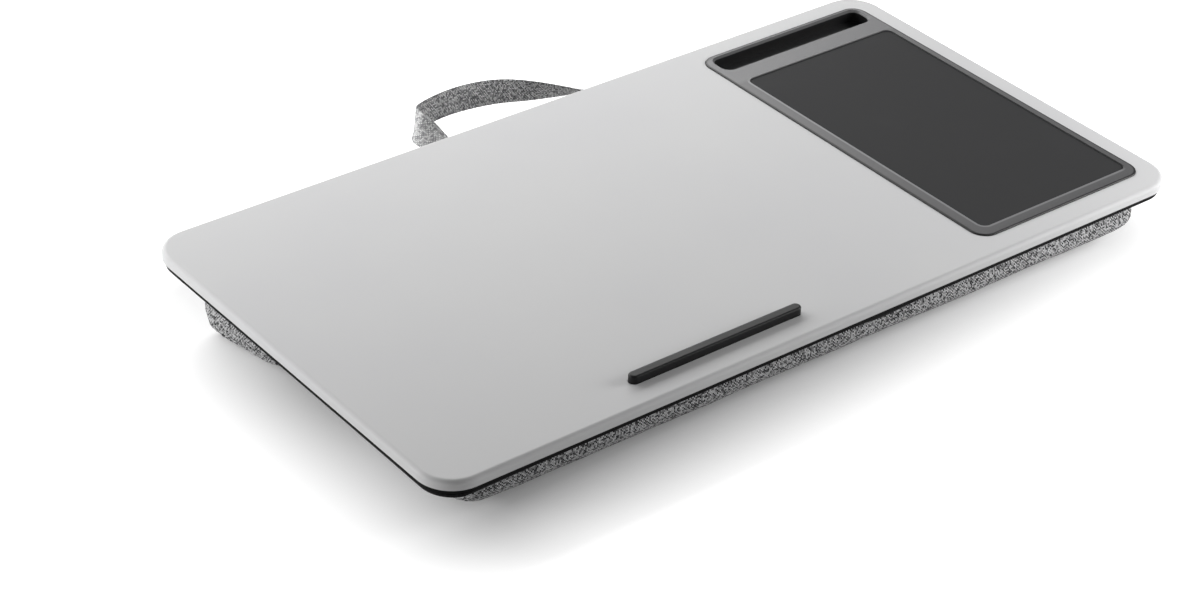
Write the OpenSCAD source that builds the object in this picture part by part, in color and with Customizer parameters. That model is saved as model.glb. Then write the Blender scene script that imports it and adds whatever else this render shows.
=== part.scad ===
// Lap tray: a moulded board on a two-bolster cushion, with a mouse pad insert,
// a phone slot, a ledge that stops a laptop, and a carrying strap at the rear.
// The board is modelled flat, with z = 0 on its underside, and then stood on the
// cushion at its working slope. +X is the user's right and +Y points to the rear.

/* [Board] */
// Width of the board, left to right
board_w = 575; // [480:1:640]
// Depth of the board, front to rear
board_d = 305; // [295:1:360]
// Radius of the board's corners
board_r = 23; // [14:1:40]
// Height of the moulded shell
shell_h = 6.3; // [5.5:0.1:9]
// Thickness of the shell's top skin
skin_t = 2; // [1.6:0.1:2.5]
// Thickness of the shell's outer wall
wall_t = 3.4; // [3.2:0.1:5]
// Rounding of the shell's upper edge
edge_fillet = 3; // [1:0.1:3.1]
// Thickness of the stiffening ribs
rib_t = 1.6; // [1:0.1:2.5]
// Distance between ribs
rib_pitch = 46; // [35:1:70]
// Thickness of the base panel
base_t = 3; // [2.5:0.1:4]
// How far the base panel is set back from the shell's edge
base_inset = 1.5; // [0.5:0.1:3]
// Height of the lip that locates the base panel inside the shell
lip_h = 1.5; // [1:0.1:2.5]
// Thickness of that lip
lip_t = 1.6; // [1:0.1:2.5]

/* [Insert] */
// Radius of the insert frame's corners
insert_r = 11; // [6:0.5:12]
// Distance from the insert frame to the board's right edge
insert_right_gap = 14.6; // [12:0.1:25]
// Distance from the insert frame to the board's rear edge
insert_rear_gap = 15.7; // [13:0.1:18]
// Distance from the insert frame to the board's front edge
insert_front_gap = 16.9; // [13:0.1:60]
// How deep the insert frame sits in the board
pocket_depth = 2; // [1.5:0.1:2.3]
// Thickness of the pocket's floor
pocket_floor = 1.8; // [1.2:0.1:1.9]
// How far the insert frame stands proud of the board
insert_proud = 0.8; // [0.3:0.1:1.5]
// Width of the frame's band left of the pad
band_left = 9.4; // [8:0.1:14]
// Width of the frame's band right of the pad
band_right = 4.9; // [4.8:0.1:9]
// Width of the frame's band in front of the pad
band_front = 9.1; // [5:0.1:14]
// Width of the frame's bridge between the pad and the phone slot
bridge = 16.4; // [12:0.1:24]
// Depth of the recess that the pad lies in
recess_depth = 1.8; // [1.3:0.1:2]
// Radius of the pad's corners
pad_r = 5.5; // [3:0.5:10]
// Thickness of the mouse pad
pad_t = 0.9; // [0.6:0.1:1.2]
// Thickness of the adhesive sheet under the pad
adhesive_t = 0.15; // [0.1:0.05:0.3]

/* [Phone slot] */
// Length of the slot
slot_len = 130; // [100:0.5:133]
// Width of the slot
slot_w = 18; // [13:0.5:19]
// Radius of the slot's corners
slot_corner_r = 6; // [4:0.5:6]
// Width of the frame's rim left of the slot
slot_rim_left = 7.1; // [6.6:0.1:14]
// Width of the frame's rim right of the slot
slot_rim_right = 4.7; // [4.4:0.1:14]
// Width of the frame's rim behind the slot
slot_rim = 3.9; // [3.6:0.1:8]
// Rounding of the slot's lip
slot_lip = 1.2; // [0.5:0.1:1.6]
// Wall thickness of the trough
trough_t = 1.2; // [0.8:0.1:1.5]
// Width of the trough's flange
flange_w = 2.2; // [1.5:0.1:2.4]
// Thickness of the trough's flange
flange_t = 1; // [0.6:0.1:1.1]

/* [Device ledge] */
// Length of the ledge
ledge_len = 128; // [90:1:180]
// Width of the ledge
ledge_w = 6.8; // [6.5:0.1:10]
// Height of the ledge above the board
ledge_h = 5.2; // [5:0.1:8]
// Rounding of the ledge's upper edge
ledge_fillet = 1.3; // [0.8:0.1:1.6]
// Distance from the ledge to the board's left edge
ledge_left_gap = 145.5; // [60:0.5:160]
// Distance from the ledge to the board's front edge
ledge_front_gap = 18.5; // [14:0.5:30]
// Distance between the ledge's outer studs
ledge_stud_span = 100; // [60:1:110]

/* [Fasteners] */
// Radius of the base screws' shanks
base_screw_r = 1.25; // [1:0.05:1.4]
// Radius of the base screws' heads
base_head_r = 2.6; // [2.2:0.1:2.8]
// Radius of the bosses that the base screws bite in
boss_r = 3.4; // [2.8:0.1:5]
// Distance from the outer bosses to the board's edge
boss_edge_gap = 11; // [10:0.5:12]
// Radius of the small screws' shanks
small_screw_r = 0.85; // [0.6:0.05:1]
// Radius of the small screws' heads
small_head_r = 2.3; // [1.9:0.1:2.5]
// Thickness of the small screws' heads
small_head_t = 1.1; // [0.8:0.1:1.2]
// Radius of the studs that the small screws bite in
stud_r = 1.9; // [1.5:0.05:2]

/* [Cushion] */
// Overall height of the tray, at its rear edge
rear_h = 58; // [50:1:75]
// Slope of the board, rear edge up
tilt = 3.5; // [2:0.1:5]
// Thickness of the backing cloth
cloth_t = 0.8; // [0.5:0.1:1.5]
// How far the backing cloth is set back from the base panel's edge
cloth_inset = 2; // [1:0.5:6]
// Mean distance from the rear bolster to the board's side edges
cushion_side_gap = 16.5; // [10:0.5:30]
// How far the cushion sits to the right of the board's middle
cushion_shift = 3; // [-5:0.5:5]
// How much shorter the front bolster is at each end
front_short = 2; // [0:0.5:15]
// Distance from the front bolster to the board's front edge
cushion_front_gap = 5.5; // [4:0.5:20]
// Distance from the rear bolster to the board's rear edge
cushion_rear_gap = 21; // [19:0.5:35]
// How far the rear bolster's lower side leans to the rear
rear_lean = 12; // [0:1:16]
// Width of the valley between the two bolsters
valley_w = 30; // [10:1:45]
// Place of the valley's middle, rearward from the board's middle
valley_y = 2; // [-30:1:20]
// Thickness of the cushion's cover
cover_t = 1; // [0.8:0.1:2]
// How far the rounding of the rear bolster's ends reaches along it
rear_end_round = 12; // [8:1:40]
// How far the rounding of the front bolster's ends reaches along it
front_end_round = 20; // [8:1:40]
// How far the covers draw in at their seams
seam_draw = 4; // [0:0.5:8]
// How far the bolsters flatten where they stand
floor_press = 0.5; // [0.5:0.1:1]

/* [Strap] */
// Width of the carrying strap
strap_w = 19; // [15:0.5:24]
// Thickness of the carrying strap
strap_t = 1.4; // [1:0.1:1.6]
// Distance between the middles of the strap's two ends
strap_span = 142; // [110:1:160]
// How far the strap's seam lies behind the board's rear edge
strap_seam_gap = 3.2; // [2.5:0.1:5]
// How far the strap's loop reaches behind its seam
strap_reach = 50; // [40:1:70]
// How far the loop rises near its left end
strap_rise = 9; // [0:0.5:14]
// How far the loop sags near its right end
strap_sag = 14; // [0:0.5:18]

/* [Hidden] */
$fn = 64;

// Clearances
fit_gap = 0.25;      // round the insert frame, the pad and the trough
screw_gap = 0.05;    // round a screw's shank
stud_gap = 0.15;     // round a stud in its hole
rib_gap = 0.3;       // between the ribs and the base panel
driver_gap = 1;      // round a small screw's head, clear of the ribs
soft_gap = 0.3;      // between the cushion's nested layers
eps = 0.01;          // overshoot of a cut past the face that it opens

// Heights above the board's underside
shell_z = base_t;
top_z = shell_z + shell_h;
skin_z = top_z - skin_t;
pocket_z = top_z - pocket_depth;
pocket_under = pocket_z - pocket_floor;
frame_top = top_z + insert_proud;
recess_z = frame_top - recess_depth;
trough_z = 0.2;

// Insert and phone slot
insert_w = slot_rim_left + slot_len + slot_rim_right;
insert_d = board_d - insert_rear_gap - insert_front_gap;
insert_x = board_w / 2 - insert_right_gap - insert_w / 2;
insert_y = board_d / 2 - insert_rear_gap - insert_d / 2;
pad_w = insert_w - band_left - band_right;
pad_d = insert_d - band_front - bridge - slot_w - slot_rim;
pad_x = insert_x + (band_left - band_right) / 2;
pad_y = insert_y - insert_d / 2 + band_front + pad_d / 2;
slot_x = insert_x + (slot_rim_left - slot_rim_right) / 2;
slot_y = insert_y + insert_d / 2 - slot_rim - slot_w / 2;
insert_fillet = 0.7;
frame_skin = 1;
adhesive_inset = 2;

// Places of the screws that hold the insert frame, in its bands
band_left_x = insert_x - insert_w / 2 + band_left / 2;
band_right_x = insert_x + insert_w / 2 - band_right / 2;
bridge_y = pad_y + pad_d / 2 + bridge / 2;
insert_screw_at = [for (x = [band_left_x, band_right_x], k = [-0.4, 0.1]) [x, pad_y + k * pad_d],
                   for (s = [-1, 1]) [insert_x + s * pad_w * 0.35, bridge_y]];

// Device ledge
ledge_x = -board_w / 2 + ledge_left_gap + ledge_len / 2;
ledge_y = -board_d / 2 + ledge_front_gap + ledge_w / 2;
ledge_seat = 0.4;
ledge_screw_at = [for (k = [-1, 0, 1]) [ledge_x + k * ledge_stud_span / 2, ledge_y]];
ledge_bite = 3;

// Places of the base screws: one in each corner, four along each long edge, and one between
boss_x = board_w / 2 - boss_edge_gap;
boss_y = board_d / 2 - boss_edge_gap;
boss_cols = [-boss_x, -boss_x / 2, 0, boss_x / 3, boss_x];
base_screw_at = [for (x = boss_cols, y = [-boss_y, boss_y]) [x, y], [-boss_x, 0], [boss_x, 0],
                 [-boss_x / 3, 0], [boss_x / 4, 0]];
base_head_t = 1.5;
screw_top_gap = 0.4;

// Stance of the board on the cushion
lift = rear_h - top_z * cos(tilt) - (board_d / 2 - edge_fillet) * sin(tilt) - edge_fillet * (1 - cos(tilt));

// Cushion
rear_half_len = board_w / 2 - cushion_side_gap;
front_half_len = rear_half_len - front_short;
bolster_power = 2.7;    // the lower side across a bolster
end_power = 3;          // the lower side along a bolster's end
corner_power = 10;      // the corners of a bolster's end, seen from above
cap_rings = 8;
rings = 2 * cap_rings + 3;
steps = 18;
front_bolster = [-board_d / 2 + cushion_front_gap, valley_y - valley_w / 2, 0,
                 front_half_len, front_end_round];
rear_bolster = [valley_y + valley_w / 2, board_d / 2 - cushion_rear_gap, rear_lean,
                rear_half_len, rear_end_round];

// Strap: its hinge line runs through the seam, level with the middle of the strap's thickness
hinge_along = board_d / 2 + strap_seam_gap;
hinge_under = cloth_t + strap_t / 2;
hinge_y = hinge_along * cos(tilt) + hinge_under * sin(tilt);
hinge_z = lift + hinge_along * sin(tilt) - hinge_under * cos(tilt);
anchor_len = 16;
anchor_gap = strap_t / 2 + 0.25;

// The loop's middle line, from the left end to the right: across by half the span,
// rearward by the reach, up by the rise and down by the sag
strap_line = [[-1, 0, 0, 0], [-0.99, 0.23, 0.3, 0], [-0.98, 0.47, 0.9, 0], [-0.8, 0.73, 0.9, 0],
              [-0.32, 0.93, 0.3, 0], [0.18, 1, 0, 0.3], [0.62, 0.91, 0, 0.8], [0.88, 0.63, 0, 1],
              [1, 0.28, 0, 0.5], [1, 0, 0, 0]];
strap_stations = 44;
strap_flat_end = 0.02;
strap_upright_left = 0.3;
strap_upright_right = 0.56;

// Middle of the whole tray's depth, from the front edge's rounding to the rear of the strap's loop
front_reach = (board_d / 2 - edge_fillet) * cos(tilt) + (top_z - edge_fillet) * sin(tilt) + edge_fillet;
rear_reach = max([for (p = strap_points()) p[1]]);
middle_y = (rear_reach - front_reach) / 2;

// Puts the origin under the middle of the tray
module centred() {
    translate([0, -middle_y, 0]) children();
}

// Stands what is drawn flat on the board at the board's working slope
module on_board() {
    centred() translate([0, 0, lift]) rotate([tilt, 0, 0]) children();
}

// Outline with round corners
module rounded_outline(w, d, r) {
    square([w - 2 * r, d], center = true);
    square([w, d - 2 * r], center = true);
    for (sx = [-1, 1], sy = [-1, 1])
        translate([sx * (w / 2 - r), sy * (d / 2 - r)]) circle(r);
}

// Plate with round corners
module plate(w, d, r, h) {
    linear_extrude(h) rounded_outline(w, d, r);
}

// Solid with round corners whose edge follows the profile given as its child.
// The profile runs from x = 0 at the corner's middle to the corner's radius.
module edged_plate(w, d, r, h) {
    quarter = [[1, 1, 0], [-1, 1, 90], [-1, -1, 180], [1, -1, 270]];
    for (q = quarter)
        translate([q[0] * (w / 2 - r), q[1] * (d / 2 - r), 0]) rotate([0, 0, q[2]])
            rotate_extrude(angle = 90) children();
    for (s = [-1, 1]) {
        translate([s * (w / 2 - r), 0, 0]) rotate([90, 0, s > 0 ? 0 : 180])
            linear_extrude(d - 2 * r, center = true) children();
        translate([0, s * (d / 2 - r), 0]) rotate([90, 0, s * 90])
            linear_extrude(w - 2 * r, center = true) children();
    }
    translate([-w / 2 + r, -d / 2 + r, 0]) cube([w - 2 * r, d - 2 * r, h]);
}

// Edge profile with a rounded upper corner
module fillet_profile(r, h, f) {
    square([r - f, h]);
    square([r, h - f]);
    translate([r - f, h - f]) circle(f);
}

// Phone slot's outline, wider by the margin all round
module slot_outline(margin = 0) {
    rounded_outline(slot_len + 2 * margin, slot_w + 2 * margin, slot_corner_r + margin);
}

// Cut for the slot's mouth: it widens by the lip at the top
module slot_mouth(lip) {
    r = slot_corner_r;
    edged_plate(slot_len, slot_w, r, lip) polygon([[0, 0], [r, 0], [r + lip, lip], [0, lip]]);
}

// Device ledge's outline, wider by the margin all round
module ledge_outline(margin = 0) {
    w = ledge_w + 2 * margin;
    square([ledge_len - ledge_w, w], center = true);
    for (s = [-1, 1]) translate([s * (ledge_len - ledge_w) / 2, 0]) circle(w / 2);
}

// Moulded shell

module shell_lattice() {
    inner_w = board_w - 2 * wall_t + 2 * eps;
    inner_d = board_d - 2 * wall_t + 2 * eps;
    cols = floor(board_w / 2 / rib_pitch);
    rows = floor(board_d / 2 / rib_pitch);
    z0 = shell_z + rib_gap;
    rib_h = skin_z - z0 + eps;
    intersection() {
        translate([0, 0, z0]) plate(inner_w, inner_d, board_r - wall_t, rib_h);
        union() {
            for (i = [-cols : cols])
                translate([i * rib_pitch - rib_t / 2, -board_d / 2, z0]) cube([rib_t, board_d, rib_h]);
            for (j = [-rows : rows])
                translate([-board_w / 2, j * rib_pitch - rib_t / 2, z0]) cube([board_w, rib_t, rib_h]);
        }
    }
}

module base_lip(gap) {
    w = board_w - 2 * wall_t - 2 * fit_gap;
    d = board_d - 2 * wall_t - 2 * fit_gap;
    r = board_r - wall_t - fit_gap;
    difference() {
        plate(w + 2 * gap, d + 2 * gap, r + gap, lip_h + gap);
        translate([0, 0, -eps])
            plate(w - 2 * lip_t - 2 * gap, d - 2 * lip_t - 2 * gap, r - lip_t - gap, lip_h + gap + 2 * eps);
    }
}

module top_shell() color("#cfcfcf") on_board() {
    difference() {
        union() {
            difference() {
                translate([0, 0, shell_z]) edged_plate(board_w, board_d, board_r, shell_h)
                    fillet_profile(board_r, shell_h, edge_fillet);
                translate([0, 0, shell_z - eps])
                    plate(board_w - 2 * wall_t, board_d - 2 * wall_t, board_r - wall_t, skin_z - shell_z + eps);
            }
            difference() {
                shell_lattice();
                translate([0, 0, shell_z]) base_lip(rib_gap);
                for (p = concat(insert_screw_at, ledge_screw_at))
                    translate([p[0], p[1], 0]) cylinder(h = top_z, r = small_head_r + driver_gap);
            }
            translate([insert_x, insert_y, pocket_under])
                plate(insert_w + 2 * wall_t, insert_d + 2 * wall_t, insert_r + wall_t,
                      skin_z - pocket_under + eps);
            for (p = base_screw_at)
                translate([p[0], p[1], shell_z]) cylinder(h = skin_z - shell_z + eps, r = boss_r);
        }
        translate([insert_x, insert_y, pocket_z])
            plate(insert_w + 2 * fit_gap, insert_d + 2 * fit_gap, insert_r + fit_gap, top_z);
        translate([slot_x, slot_y, 0]) linear_extrude(top_z) slot_outline(trough_t + fit_gap);
        for (p = insert_screw_at)
            translate([p[0], p[1], 0]) cylinder(h = top_z, r = stud_r + stud_gap);
        for (p = ledge_screw_at)
            translate([p[0], p[1], 0]) cylinder(h = top_z + eps, r = stud_r + stud_gap);
        translate([ledge_x, ledge_y, top_z - ledge_seat]) linear_extrude(ledge_seat + eps)
            ledge_outline(fit_gap);
        for (p = base_screw_at)
            translate([p[0], p[1], 0]) cylinder(h = skin_z, r = base_screw_r + screw_gap);
    }
}

// Base panel and its screws

module base_panel() color("#141414") on_board() {
    w = board_w - 2 * base_inset;
    d = board_d - 2 * base_inset;
    difference() {
        union() {
            plate(w, d, board_r - base_inset, base_t);
            translate([0, 0, base_t - eps]) base_lip(0);
        }
        for (p = base_screw_at) translate([p[0], p[1], -eps]) {
            cylinder(h = base_t + 2 * eps, r = base_screw_r + stud_gap);
            cylinder(h = base_head_t + eps, r1 = base_head_r + stud_gap, r2 = base_screw_r + stud_gap);
            translate([0, 0, base_t + 2 * eps]) cylinder(h = lip_h, r = boss_r + rib_gap);
        }
        translate([slot_x, slot_y, -eps]) linear_extrude(base_t + 2 * eps) slot_outline(trough_t + fit_gap);
    }
}

module base_screws() color("#8a8a8a") on_board() {
    for (p = base_screw_at) translate([p[0], p[1], 0]) {
        cylinder(h = base_head_t, r1 = base_head_r, r2 = base_screw_r);
        cylinder(h = skin_z - screw_top_gap, r = base_screw_r);
    }
}

// Insert: frame, trough, pad and screws

module insert_frame() color("#6d6d6f") on_board() {
    frame_h = frame_top - pocket_z;
    difference() {
        union() {
            translate([insert_x, insert_y, pocket_z]) edged_plate(insert_w, insert_d, insert_r, frame_h)
                fillet_profile(insert_r, frame_h, insert_fillet);
            for (p = insert_screw_at)
                translate([p[0], p[1], pocket_under + stud_gap]) cylinder(h = pocket_floor, r = stud_r);
        }
        translate([pad_x, pad_y, recess_z]) plate(pad_w, pad_d, pad_r, frame_h);
        translate([slot_x, slot_y, 0]) {
            translate([0, 0, pocket_z - eps]) linear_extrude(frame_h + 2 * eps) slot_outline();
            translate([0, 0, pocket_z - eps]) linear_extrude(flange_t + fit_gap / 2 + eps)
                slot_outline(flange_w + fit_gap);
            translate([0, 0, frame_top - slot_lip]) slot_mouth(slot_lip + eps);
        }
        for (p = insert_screw_at)
            translate([p[0], p[1], 0]) cylinder(h = frame_top - frame_skin, r = small_screw_r + screw_gap);
    }
}

module insert_screws() color("#8a8a8a") on_board() {
    for (p = insert_screw_at) translate([p[0], p[1], 0]) {
        translate([0, 0, pocket_under - small_head_t]) cylinder(h = small_head_t, r = small_head_r);
        translate([0, 0, pocket_under - eps])
            cylinder(h = frame_top - frame_skin - screw_top_gap - pocket_under, r = small_screw_r);
    }
}

module phone_trough() color("#1b1b1c") on_board() translate([slot_x, slot_y, 0]) {
    rim = pocket_z + flange_t;
    difference() {
        union() {
            translate([0, 0, trough_z]) linear_extrude(rim - trough_z) slot_outline(trough_t);
            translate([0, 0, pocket_z]) linear_extrude(flange_t) slot_outline(flange_w);
        }
        translate([0, 0, trough_z + trough_t]) linear_extrude(rim) slot_outline();
    }
}

module pad_adhesive() color("#d8d4c4") on_board() {
    translate([pad_x, pad_y, recess_z])
        plate(pad_w - 2 * adhesive_inset, pad_d - 2 * adhesive_inset, pad_r - adhesive_inset, adhesive_t);
}

module mouse_pad() color("#424244") on_board() {
    translate([pad_x, pad_y, recess_z + adhesive_t])
        plate(pad_w - 2 * fit_gap, pad_d - 2 * fit_gap, pad_r - fit_gap, pad_t);
}

// Device ledge

module ledge_profile() {
    fillet_profile(ledge_w / 2, ledge_h + ledge_seat, ledge_fillet);
}

module device_ledge() color("#38383a") on_board() {
    z0 = top_z - ledge_seat;
    run = ledge_len - ledge_w;
    difference() {
        union() {
            for (s = [-1, 1])
                translate([ledge_x + s * run / 2, ledge_y, z0]) rotate_extrude() ledge_profile();
            translate([ledge_x, ledge_y, z0]) rotate([90, 0, 90]) linear_extrude(run, center = true) {
                ledge_profile();
                mirror([1, 0]) ledge_profile();
            }
            for (p = ledge_screw_at)
                translate([p[0], p[1], skin_z + stud_gap]) cylinder(h = skin_t, r = stud_r);
        }
        for (p = ledge_screw_at)
            translate([p[0], p[1], 0]) cylinder(h = top_z + ledge_bite, r = small_screw_r + screw_gap);
    }
}

module ledge_screws() color("#8a8a8a") on_board() {
    for (p = ledge_screw_at) translate([p[0], p[1], 0]) {
        translate([0, 0, skin_z - small_head_t]) cylinder(h = small_head_t, r = small_head_r);
        translate([0, 0, skin_z - eps]) cylinder(h = skin_t + ledge_bite - screw_top_gap, r = small_screw_r);
    }
}

// Cushion

module backing_cloth() color("#1d1d1e") on_board() {
    inset = base_inset + cloth_inset;
    translate([0, 0, -cloth_t])
        plate(board_w - 2 * inset, board_d - 2 * inset, board_r - inset, cloth_t);
}

// Height of the cloth's underside above the floor
function cloth_z(y) = lift + y * tan(tilt) - cloth_t / cos(tilt);

// Sine or cosine taken to the power of an outline between an ellipse and a box
function power(v, p) = sign(v) * pow(abs(v), 2 / p);

// Point of a bolster inside its outer surface by the gap, and under the cloth by the drop.
// A bolster is its front, its rear, its lean, half its length and the rounding of its ends.
// Ring i runs along it, from the left end, and step j round its lower side, from the front.
function bolster_point(bolster, gap, drop, i, j) =
    let (mid = (bolster[0] + bolster[1]) / 2,
         half = (bolster[1] - bolster[0]) / 2 - gap,
         turn = 90 * min(i / cap_rings, (rings - i) / cap_rings, 1),
         along = power(cos(turn), end_power),
         narrow = pow(1 - pow(along, corner_power), 1 / corner_power),
         round = 180 - 180 * j / steps,
         depth = power(sin(turn), end_power) * power(sin(round), bolster_power),
         draw = seam_draw * pow(1 - depth, 3),
         straight = bolster[3] - draw - bolster[4],
         x = turn < 90 ? sign(i - rings / 2) * (straight + (bolster[4] - gap) * along)
                       : straight * (2 * (i - cap_rings) / (rings - 2 * cap_rings) - 1),
         y = mid + bolster[2] * depth + narrow * power(cos(round), bolster_power) * (half - draw),
         top = cloth_z(y) - drop)
    [cushion_shift + x, y, max(gap, top - depth * (top + floor_press - gap))];

// Lower side of a bolster: a point at the left end, rings of points from front to rear,
// and a point at the right end
function bolster_skin(bolster, gap, drop) =
    [bolster_point(bolster, gap, drop, 0, steps / 2),
     for (i = [1 : rings - 1], j = [0 : steps]) bolster_point(bolster, gap, drop, i, j),
     bolster_point(bolster, gap, drop, rings, steps / 2)];

skin_points = 2 + (rings - 1) * (steps + 1);

// Number of a skin's point, for ring i and step j; ring 0 and the last are the end points
function at(first, i, j) =
    i == 0 ? first : i == rings ? first + skin_points - 1 : first + 1 + (i - 1) * (steps + 1) + j;

// Two triangles for a patch seen from outside as a, b, c, d clockwise, or one where two corners meet
function patch(a, b, c, d) =
    a == b || b == c ? [[a, c, d]] : c == d || d == a ? [[a, b, c]] : [[a, b, c], [a, c, d]];

// A skin facing down, or up where it is the inside of a cover
function skin_faces(first, down) =
    [for (i = [0 : rings - 1], j = [0 : steps - 1])
        let (a = at(first, i, j), b = at(first, i, j + 1), c = at(first, i + 1, j + 1), d = at(first, i + 1, j))
        each down ? patch(a, d, c, b) : patch(a, b, c, d)];

// A strip facing up between step j of one skin and step k of another
function strip_faces(first, j, second, k) =
    [for (i = [0 : rings - 1])
        each patch(at(first, i, j), at(second, i, k), at(second, i + 1, k), at(first, i + 1, j))];

module bolster_filling(bolster) {
    centred() polyhedron(bolster_skin(bolster, cover_t + soft_gap, soft_gap),
                         concat(skin_faces(0, true), strip_faces(0, 0, 0, steps)));
}

module bolster_cover(bolster) {
    inner = skin_points;
    centred() polyhedron(concat(bolster_skin(bolster, 0, 0), bolster_skin(bolster, cover_t, 0)),
                         concat(skin_faces(0, true), skin_faces(inner, false),
                                strip_faces(0, 0, inner, 0), strip_faces(inner, steps, 0, steps)));
}

module rear_bolster_cover() color("#8b8b8d") bolster_cover(rear_bolster);

module rear_bolster_filling() color("#ececea") bolster_filling(rear_bolster);

module front_bolster_cover() color("#8b8b8d") bolster_cover(front_bolster);

module front_bolster_filling() color("#ececea") bolster_filling(front_bolster);

module valley_strip() color("#8b8b8d") on_board() {
    w = valley_w + 2 * seam_draw - 4 * soft_gap;
    len = 2 * (front_half_len - 2 * seam_draw);
    translate([cushion_shift - len / 2, valley_y - w / 2, -cloth_t - cover_t]) cube([len, w, cover_t]);
}

// Strap

module strap_anchor(side) {
    translate([side * strap_span / 2 - strap_w / 2, hinge_along - anchor_gap - anchor_len, -cloth_t - strap_t])
        cube([strap_w, anchor_len, strap_t]);
}

module strap_anchor_left() color("#9a9a9c") on_board() strap_anchor(-1);

module strap_anchor_right() color("#9a9a9c") on_board() strap_anchor(1);

// Point of the strap's middle line from the hinge, for u from 0 at the left end to 1 at the right
function strap_knot(k) =
    let (p = strap_line[k])
    [p[0] * strap_span / 2, p[1] * strap_reach, p[2] * strap_rise - p[3] * strap_sag];

function strap_middle(u) =
    let (last = len(strap_line) - 1,
         i = min(floor(u * last), last - 1),
         f = u * last - i,
         b = strap_knot(i),
         c = strap_knot(i + 1),
         a = i > 0 ? strap_knot(i - 1) : 2 * b - c,
         d = i + 2 <= last ? strap_knot(i + 2) : 2 * c - b)
    (2 * b + (c - a) * f + (2 * a - 5 * b + 4 * c - d) * f * f + (3 * b - a - 3 * c + d) * f * f * f) / 2;

function unit(v) = v / norm(v);

function ease(t) = let (s = min(max(t, 0), 1)) s * s * (3 - 2 * s);

// Direction of the line, and across the strap: flat at the ends and upright between them
function strap_along(u) = unit(strap_middle(min(u + 0.001, 1)) - strap_middle(max(u - 0.001, 0)));

function strap_across(u) =
    let (along = strap_along(u),
         inward = unit([along[1], -along[0], 0]),
         turn_left = ease((u - strap_flat_end) / (strap_upright_left - strap_flat_end)),
         turn_right = ease((1 - u - strap_flat_end) / (strap_upright_right - strap_flat_end)),
         turn = min(turn_left, turn_right),
         lean = (1 - turn) * inward + turn * [0, 0, 1])
    unit(lean - along * (lean * along));

// The strap's four corners at each station
function strap_points() =
    [for (k = [0 : strap_stations])
        let (u = k / strap_stations,
             across = strap_across(u) * strap_w / 2,
             through = cross(strap_along(u), strap_across(u)) * strap_t / 2,
             middle = [0, hinge_y, hinge_z] + strap_middle(u))
        each [middle + across + through, middle - across + through,
              middle - across - through, middle + across - through]];

module handle_strap() color("#9a9a9c") centred() {
    last = 4 * strap_stations;
    sides = [for (k = [0 : strap_stations - 1], j = [0 : 3])
        let (a = 4 * k + j, b = 4 * k + (j + 1) % 4)
        each [[a, b, b + 4], [a, b + 4, a + 4]]];
    ends = [[0, 2, 1], [0, 3, 2], [last, last + 1, last + 2], [last, last + 2, last + 3]];
    polyhedron(strap_points(), concat(sides, ends));
}

top_shell();
base_panel();
base_screws();
insert_frame();
insert_screws();
phone_trough();
mouse_pad();
pad_adhesive();
device_ledge();
ledge_screws();
backing_cloth();
rear_bolster_cover();
rear_bolster_filling();
front_bolster_cover();
front_bolster_filling();
valley_strip();
strap_anchor_left();
strap_anchor_right();
handle_strap();
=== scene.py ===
# %% [markdown]
# # A lap tray with its cushion
#
# The tray is a thin moulded board that stands on two stuffed bolsters. A frame with a
# mouse pad is sunk in its right side, behind it a slot holds a phone, a soft bar at the
# front stops a laptop, and a strap at the rear is for carrying it.
# The hard parts come measured from the CAD model and only get their finishes here. The
# soft parts are made new, because cloth that is filled, sewn and folded has no flat faces.

# %% Load the measured frame
import math
from bisect import bisect

import bmesh
import bpy
from mathutils import Matrix, Vector, kdtree, noise
from mathutils.bvhtree import BVHTree


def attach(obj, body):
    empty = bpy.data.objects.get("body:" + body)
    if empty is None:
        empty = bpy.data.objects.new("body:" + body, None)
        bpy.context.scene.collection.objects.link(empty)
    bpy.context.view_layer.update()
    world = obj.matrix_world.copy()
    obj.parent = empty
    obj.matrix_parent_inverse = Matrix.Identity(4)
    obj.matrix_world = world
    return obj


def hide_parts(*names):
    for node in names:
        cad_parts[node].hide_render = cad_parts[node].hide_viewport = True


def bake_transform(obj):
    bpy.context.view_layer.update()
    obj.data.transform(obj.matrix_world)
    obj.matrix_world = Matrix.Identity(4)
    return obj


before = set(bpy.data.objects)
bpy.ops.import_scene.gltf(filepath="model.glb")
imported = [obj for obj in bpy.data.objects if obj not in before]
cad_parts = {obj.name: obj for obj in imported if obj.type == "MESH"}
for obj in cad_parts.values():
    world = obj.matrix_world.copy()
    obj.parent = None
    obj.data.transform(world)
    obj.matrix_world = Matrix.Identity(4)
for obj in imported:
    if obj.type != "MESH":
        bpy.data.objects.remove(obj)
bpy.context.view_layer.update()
print("nodes:", ", ".join(sorted(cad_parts)))

# %% [markdown]
# ## Where things are
#
# Everything on the board is easiest to place as if the board lay flat, so one matrix
# turns millimetres on the flat board into metres on the tray, which slopes by 3.5
# degrees. The cushion is measured from the floor instead, and only needs to know how
# high the cloth under the board is at each depth.

# %% Measures shared by the soft pieces
MM = 0.001
SLOPE = math.radians(3.5)
MIDDLE_Y = 27.7631
LIFT = 39.585
CLOTH = 0.8
BOARD = Matrix.Translation((0, -MIDDLE_Y * MM, LIFT * MM)) @ Matrix.Rotation(SLOPE, 4, "X")
UNBOARD = BOARD.inverted()


def on_board(x, y, z):
    """A point of the flat board, in millimetres, as a place on the tray."""
    return BOARD @ (Vector((x, y, z)) * MM)


def cloth_height(y):
    """Height of the cloth's underside above the floor, in millimetres, at a depth on the board."""
    return LIFT + y * math.tan(SLOPE) - CLOTH / math.cos(SLOPE)


def ramp(value, none, full):
    """A share from 0 to 1: how far a value is on its way from none to full."""
    return max(0.0, min(1.0, (value - none) / (full - none)))


print("board corner at", [round(v, 4) for v in on_board(-287.5, -152.5, 0)])

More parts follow.
